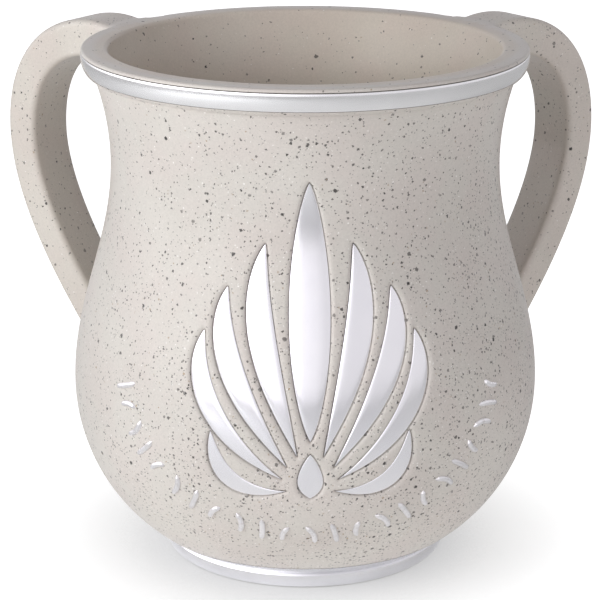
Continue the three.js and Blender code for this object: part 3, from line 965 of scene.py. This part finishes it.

# %% [markdown]
# ## Stone resin
# The casting is a pale warm grey with a faint cloudiness, as mixed resin and stone powder have.
# Three sizes of dark grain lie in it, with a few ochre and chalk-white ones. A point attribute says
# how thick the grains lie: dense on the lower body, thinner on the handles and inside, almost none
# on the lip. A second one says where shade is painted: inside and on the handles the stone is
# tinted a little darker and warmer, as painted shade. The surface has a satin lacquer with a very
# slight unevenness.

# %% How thick the grains lie
SHARE_HEIGHTS, SHARES = (10, 40, 75, 110, 131), (1.0, 0.95, 0.8, 0.62, 0.5)
SIDE_REACH, BACK_SHARE, FRONT_MORE, RIGHT_MORE = 60, 0.72, 0.14, 0.26
ARM_START, ARM_SPAN = 1.0, 6
# The last of these is how much painted shade the handles get: a darker, warmer stone for the shade
# they lie in.
HANDLE_SHARE, INNER_SHARE, RING_SHARE, HANDLE_PAINTED_SHADE = 0.24, 0.12, 0.06, 0.35


def set_grain_share(item):
    """Writes how thickly grains lie, from 0 to 1, and how much shade is painted, on each point of
    the casting.
    """
    count = len(item.data.vertices)
    places = np.empty(count * 3)
    item.data.vertices.foreach_get("co", places)
    places = places.reshape(-1, 3) / MM
    radius, height = np.hypot(places[:, 0], places[:, 1]), places[:, 2]
    share = np.interp(height, SHARE_HEIGHTS, SHARES)
    front = np.clip(-places[:, 1] / SIDE_REACH, 0, 1)
    right = np.clip(places[:, 0] / SIDE_REACH, -1, 1)
    share *= BACK_SHARE + FRONT_MORE * front + RIGHT_MORE * right
    arm = np.clip((body_distance(places) - ARM_START) / ARM_SPAN, 0, 1)
    share = share * (1 - arm) + HANDLE_SHARE * arm
    within = (radius < np.maximum(body_radius(height) - 3.0, 1)) & (height > FLOOR - 0.5)
    share = np.where(within, INNER_SHARE, share)
    ring = (radius < LIP_RADIUS + 1) & (radius > MOUTH_RADIUS - 2.5)
    share = np.where(ring & (height > CORNER_HEIGHT + 1.5), RING_SHARE, share)
    # Painted shade: full inside the cup and partly on the handles, where the stone lies in shade.
    painted_shade = np.maximum(within, HANDLE_PAINTED_SHADE * arm)
    store(item.data, "grain_share", "FLOAT", share.astype(np.float32))
    store(item.data, "painted_shade_share", "FLOAT", painted_shade.astype(np.float32))
    return float(share.mean())


print("mean share of grains:", round(set_grain_share(cup), 2))

# %% The stone material
STONE_TONES = ((0.600, 0.557, 0.508), (0.655, 0.612, 0.560))
STONE_TINTS, TINT_SHARE = ((0.66, 0.59, 0.55), (0.59, 0.59, 0.53)), 0.2
# Painted shade: inside the cup and on the handles the stone is multiplied by this darker, warmer
# tint.
PAINTED_SHADE_TINT = (0.97, 0.925, 0.865)
RAGGED, KIND_STEP = 0.7, (0.013, 0.029, 0.017)
# Cells per metre, largest radius in cells, share, colour and strength of each kind
GRAIN_KINDS = (
    (480.0, 0.30, 1.00, (0.022, 0.018, 0.015), 0.98),
    (800.0, 0.33, 1.25, (0.030, 0.024, 0.020), 0.98),
    (1300.0, 0.37, 1.35, (0.040, 0.033, 0.028), 0.98),
    (800.0, 0.25, 0.45, (0.34, 0.23, 0.12), 0.85),
    (1250.0, 0.30, 1.00, (0.90, 0.88, 0.85), 0.80),
)


def new_material(name):
    """A material with a Principled BSDF and its node tree."""
    made = material_called(name)
    made.use_nodes = True
    tree = made.node_tree
    tree.nodes.clear()
    shader = node(tree, "ShaderNodeBsdfPrincipled")
    node(tree, "ShaderNodeOutputMaterial", {"Surface": shader.outputs["BSDF"]})
    return made, tree, shader


def place_in(tree):
    """Object coordinates for a material."""
    return node(tree, "ShaderNodeTexCoord").outputs["Object"]


def attribute_in(tree, name):
    """A value that the points of the mesh carry."""
    return node(tree, "ShaderNodeAttribute", attribute_name=name).outputs["Fac"]


def use_group(tree, group, place, inputs):
    """A group placed in a material, with its own values."""
    return node(tree, "ShaderNodeGroup", {"Place": place, **inputs}, node_tree=group).outputs


def mixed(tree, amount, first, second, how="MIX"):
    """A colour mix; each colour is a socket or a triple."""
    first, second = ((*c, 1.0) if isinstance(c, tuple) else c for c in (first, second))
    inputs = {0: amount, 6: first, 7: second}
    made = node(tree, "ShaderNodeMix", inputs, data_type="RGBA", blend_type=how)
    return made.outputs[2]


def bumped(tree, height, strength, depth):
    """The surface's direction with a bump from a height, with its depth in millimetres."""
    return node(tree, "ShaderNodeBump", {
        "Strength": strength, "Distance": depth * MM, "Height": height,
    }).outputs["Normal"]


stone, st, stone_shader = new_material("stone_resin")
place = place_in(st)
cloud = ranged(st, noise_at(st, place, 38, 3, 0.55), 0.35, 0.65)
colour = mixed(st, cloud, *STONE_TONES)
tint = ranged(st, noise_at(st, place, 75), 0.4, 0.6)
colour = mixed(st, TINT_SHARE, colour, mixed(st, tint, *STONE_TINTS))
powder = ranged(st, noise_at(st, place, 1900, 2, 0.6), 0.3, 0.7, 0.95, 1.05)
colour = mixed(st, 1.0, colour, vector(st, powder, powder, powder), "MULTIPLY")
# Painted shade: the stone is darker and warmer where the point attribute of painted shade says so.
painted_shade_tone = mixed(st, 1.0, colour, PAINTED_SHADE_TINT, "MULTIPLY")
colour = mixed(st, attribute_in(st, "painted_shade_share"), colour, painted_shade_tone)
clusters = ranged(st, noise_at(st, place, 110, 2, 0.6), 0.36, 0.64, 0.5, 1.2)
thick = maths(st, "MULTIPLY", attribute_in(st, "grain_share"), clusters)
edges = noise_at(st, place, 2600, 1.0, output="Color")
edges = vector_maths(st, "SUBTRACT", edges, (0.5, 0.5, 0.5))
rough_place = vector_maths(st, "ADD", place, vector_maths(st, "SCALE", edges, RAGGED * MM))
dents = None
for number, (per_metre, largest, part, tone, strength) in enumerate(GRAIN_KINDS):
    moved = vector_maths(st, "ADD", rough_place, tuple(number * step for step in KIND_STEP))
    spots = use_group(st, grains, moved, {
        "Per metre": per_metre, "Largest": largest, "Share": maths(st, "MULTIPLY", thick, part),
    })
    depth = ranged(st, spots["Tone"], 0.0, 1.0, 0.6 * strength, strength)
    amount = maths(st, "MULTIPLY", spots["Grain"], depth)
    colour = mixed(st, amount, colour, tone)
    dents = dents or amount
sheen_marks = use_group(st, marks, place, {"Per metre": 45.0, "Least": 0.36, "Most": 0.5})
fine = maths(st, "MULTIPLY", noise_at(st, place, 1500), 0.25)
uneven = maths(st, "ADD", maths(st, "MULTIPLY", noise_at(st, place, 260), 0.6), fine)
uneven = maths(st, "SUBTRACT", uneven, maths(st, "MULTIPLY", dents, 0.35))
feed(st, stone_shader, {
    "Base Color": colour, "Roughness": sheen_marks["Value"], "Coat Roughness": 0.22,
    "Coat Weight": 0.25, "Normal": bumped(st, uneven, 0.22, 0.06),
})
print("kinds of grain:", len(GRAIN_KINDS))

# %% [markdown]
# ## Silver
# The trim is bright silver with the softness of a plated casting: a mirror that is never quite
# flat. The bands, the leaves and the strokes share the recipe. The lip and the leaves are the
# brightest. The lip's band and the foot's band are one metal, but the lip's copy is made lighter, a
# painted highlight, and the foot's darker, painted shade. The strokes are worn, so that stone-grey
# shows through in their hollows.

# %% The silver materials
WORN_TONE = (0.55, 0.52, 0.49)


def silver(name, light, shade, least, most, wave, wear=0.0):
    """A silver finish: its two tones, its range of roughness, its waviness and its wear."""
    made, tree, shader = new_material(name)
    place = place_in(tree)
    tone = mixed(tree, ranged(tree, noise_at(tree, place, 60, 3), 0.35, 0.65), light, shade)
    metal = 1.0
    if wear:
        worn = ranged(tree, noise_at(tree, place, 900, 3, 0.65), 0.5, 0.68, 0.0, wear)
        tone = mixed(tree, worn, tone, WORN_TONE)
        metal = maths(tree, "SUBTRACT", 1.0, worn)
    dull = use_group(tree, marks, place, {"Per metre": 70.0, "Least": least, "Most": most})
    pits = use_group(tree, grains, place, {"Per metre": 700.0, "Largest": 0.16, "Share": 0.03})
    rough = maths(tree, "ADD", dull["Value"], maths(tree, "MULTIPLY", pits["Grain"], 0.2))
    fine = maths(tree, "MULTIPLY", noise_at(tree, place, 900), 0.08)
    relief = maths(tree, "ADD", noise_at(tree, place, 120), fine)
    relief = maths(tree, "SUBTRACT", relief, maths(tree, "MULTIPLY", pits["Grain"], 0.1))
    feed(tree, shader, {
        "Base Color": tone, "Roughness": rough, "Metallic": metal,
        "Normal": bumped(tree, relief, 1.0, wave),
    })
    return made


# Painted highlight and painted shade: the lip's silver is made lighter and the foot's darker,
# though they are one metal.
lip_silver_painted_highlight, foot_silver_painted_shade, leaf_silver, stroke_silver = (silver(*finish) for finish in (
    ("silver_lip", (0.96, 0.96, 0.96), (0.92, 0.92, 0.92), 0.17, 0.27, 0.04),
    ("silver_foot", (0.84, 0.84, 0.86), (0.77, 0.77, 0.79), 0.17, 0.27, 0.04),
    ("silver_leaves", (0.95, 0.945, 0.965), (0.91, 0.905, 0.935), 0.16, 0.26, 0.05),
    ("silver_strokes", (0.93, 0.92, 0.93), (0.82, 0.81, 0.82), 0.24, 0.38, 0.05, 0.5),
))


def dressed(item, material):
    """Gives a whole piece one material."""
    item.data.materials.clear()
    item.data.materials.append(material)
    for face in item.data.polygons:
        face.material_index = 0
    return item


finishes = [
    (cup, stone), *[(band, lip_silver_painted_highlight) for band in lip_bands], (foot_band, foot_silver_painted_shade),
    *[(plate, leaf_silver) for plate, _ in metal_leaves], (raised_strokes, stroke_silver),
]
for item, material in finishes:
    dressed(item, material)
print("materials:", [m.name for m in bpy.data.materials if m.users])

# %% [markdown]
# ## Smooth shading
# Round surfaces are shaded smooth and true edges stay sharp, by the angle between faces.

# %% Shade the pieces
SHARP_ANGLE = math.radians(32)
everything = [item for item, _ in finishes]
for item in everything:
    item.data.shade_smooth()
    item.data.set_sharp_from_angle(angle=SHARP_ANGLE)
print("pieces:", len(everything), "triangles:", sum(triangles(i) for i in everything))

# %% [markdown]
# ## Hang every piece on the model
# The cup has no joints, so every piece rides on the one body, root. The packed solids that the
# pieces stand for are hidden.

# %% Ride and replace
for item in everything:
    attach(item, "root")
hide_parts("cup")
for band, solid in zip(lip_bands, ("lip_band_front", "lip_band_back")):
    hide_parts(solid)
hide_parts("foot_band")
for plate, solid in metal_leaves:
    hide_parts(solid)
print("pieces on root:", len(everything))

# %% [markdown]
# ## Floor, light and camera
# A white paper floor runs far behind the cup, so that it fills the whole picture. One soft lamp
# stands close on the left and in front, and a weaker one above it. Glows of the world from the
# right, from above and from behind fill the shadows. What the silver and the lacquer mirror is a
# separate, even glow, as white cards round a set give. The paper glows a little by itself, except
# where the cup stands close over it, which leaves a soft contact shadow.

# %% Strengths of the lights
LAMP_LEFT, LAMP_ABOVE = 2.32, 0.12
FILL_RIGHT, FILL_TOP, FILL_BACK = 1.60, 0.16, 0.26
CARDS, CARDS_LEFT = 0.80, 2.0
PAPER_GLOW, PAPER_GLOW_SEEN = 0.33, 1.12
PAPER_WHITE, PAPER_SEEN, PAPER_MIRRORED = 0.94, 0.30, 0.80
WORLD_SEEN = 1.2
print("lamp on the left in watts:", LAMP_LEFT)

# %% Floor
REACH = 8000
CONTACT_SHADOW, CONTACT_GLOW = 0.045, 0.3
corners = [(x * REACH, y * REACH, 0) for x, y in ((-1, -1), (1, -1), (1, 1), (-1, 1))]
floor_mesh = new_mesh("studio_floor", corners, [], [(0, 1, 2, 3)])
studio_floor = linked("studio_floor", floor_mesh)
paper, pt, paper_shader = new_material("white_paper")
paper_ray = node(pt, "ShaderNodeLightPath").outputs
seen = paper_ray["Is Camera Ray"]
in_metal = ranged(pt, paper_ray["Is Glossy Ray"], 0, 1, 1.0, PAPER_MIRRORED)
white = ranged(pt, noise_at(pt, place_in(pt), 4), 0.3, 0.7, 0.98, 1.0)
white = maths(pt, "MULTIPLY", white, ranged(pt, seen, 0, 1, PAPER_WHITE, PAPER_SEEN))
white = maths(pt, "MULTIPLY", white, in_metal)
near_cup = node(pt, "ShaderNodeAmbientOcclusion", {"Distance": CONTACT_SHADOW}, samples=4)
glow = ranged(pt, near_cup.outputs["AO"], 0.0, 1.0, CONTACT_GLOW, PAPER_GLOW_SEEN)
glow = maths(pt, "MULTIPLY", seen, maths(pt, "SUBTRACT", glow, PAPER_GLOW))
glow = maths(pt, "ADD", glow, PAPER_GLOW)
feed(pt, paper_shader, {
    "Base Color": vector(pt, white, white, white), "Roughness": 0.9,
    "Specular IOR Level": 0.1, "Emission Color": (1.0, 1.0, 1.0, 1.0),
    "Emission Strength": maths(pt, "MULTIPLY", glow, in_metal),
})
dressed(studio_floor, paper)
print("paper glow, for the cup and for the eye:", PAPER_GLOW, PAPER_GLOW_SEEN)

# %% Light
TENT_COLOUR = (0.98, 0.96, 1.00, 1.0)
LAMP_COLOUR, LAMP_AIM = (0.98, 0.99, 1.02), (0, 0, 0.07)
LAMPS = (
    ("lamp_left", (-0.45, -0.35, 0.30), 0.35, LAMP_LEFT),
    ("lamp_above", (-0.38, -0.05, 0.45), 0.30, LAMP_ABOVE),
)
world = bpy.data.worlds.new("light_tent")
scene.world = world
world.use_nodes = True
air = world.node_tree
direction = node(air, "ShaderNodeTexCoord").outputs["Generated"]


def glow_from(towards, power, strength):
    """A soft glow of the world round one direction."""
    way = tuple(Vector(towards).normalized())
    facing = node(
        air, "ShaderNodeVectorMath", {0: direction, 1: way}, operation="DOT_PRODUCT"
    )
    ahead = maths(air, "MAXIMUM", facing.outputs["Value"], 0.0)
    return maths(air, "MULTIPLY", maths(air, "POWER", ahead, power), strength)


fill = maths(
    air, "ADD", glow_from((0.7, -0.7, 0.15), 4, FILL_RIGHT), glow_from((0, 0, 1), 4, FILL_TOP)
)
fill = maths(air, "ADD", fill, glow_from((0.1, 1, 0.3), 4, FILL_BACK))
cards = maths(air, "ADD", glow_from((-1, -0.35, 0.15), 2, CARDS_LEFT), CARDS)
ray = node(air, "ShaderNodeLightPath").outputs
mirrored = maths(air, "MULTIPLY", ray["Is Glossy Ray"], maths(air, "SUBTRACT", cards, fill))
seen_white = maths(air, "MULTIPLY", ray["Is Camera Ray"], WORLD_SEEN)
strength = maths(air, "ADD", maths(air, "ADD", fill, mirrored), seen_white)
feed(air, air.nodes["Background"], {"Strength": strength, "Color": TENT_COLOUR})
for name, place_of, width, power in LAMPS:
    lamp = bpy.data.lights.new(name, "AREA")
    lamp.shape = "DISK"
    lamp.size = width
    lamp.energy = power
    lamp.color = LAMP_COLOUR
    lamp_item = bpy.data.objects.new(name, lamp)
    scene.collection.objects.link(lamp_item)
    lamp_item.location = place_of
    backward = Vector(place_of) - Vector(LAMP_AIM)
    lamp_item.rotation_euler = backward.to_track_quat("Z", "Y").to_euler()
    lamp_item.visible_glossy = False
scene.view_settings.view_transform = "Standard"

# %% Camera
AZIMUTH, ELEVATION, DISTANCE = math.radians(-1.2), math.radians(16.8), 644.6
target = Vector((0, 0, RIM_HEIGHT / 2)) * MM
away = Vector((
    math.sin(AZIMUTH) * math.cos(ELEVATION),
    -math.cos(AZIMUTH) * math.cos(ELEVATION),
    math.sin(ELEVATION),
))
lens = bpy.data.cameras.new("camera")
lens.lens = 142.3
lens.sensor_width = 36
lens.shift_x = -0.00858
lens.shift_y = -0.00602
lens.clip_start = 0.01
lens.clip_end = 50
camera = bpy.data.objects.new("camera", lens)
scene.collection.objects.link(camera)
camera.location = target + away * DISTANCE * MM
camera.rotation_euler = away.to_track_quat("Z", "Y").to_euler()
scene.camera = camera
print("camera at", [round(c, 3) for c in camera.location])
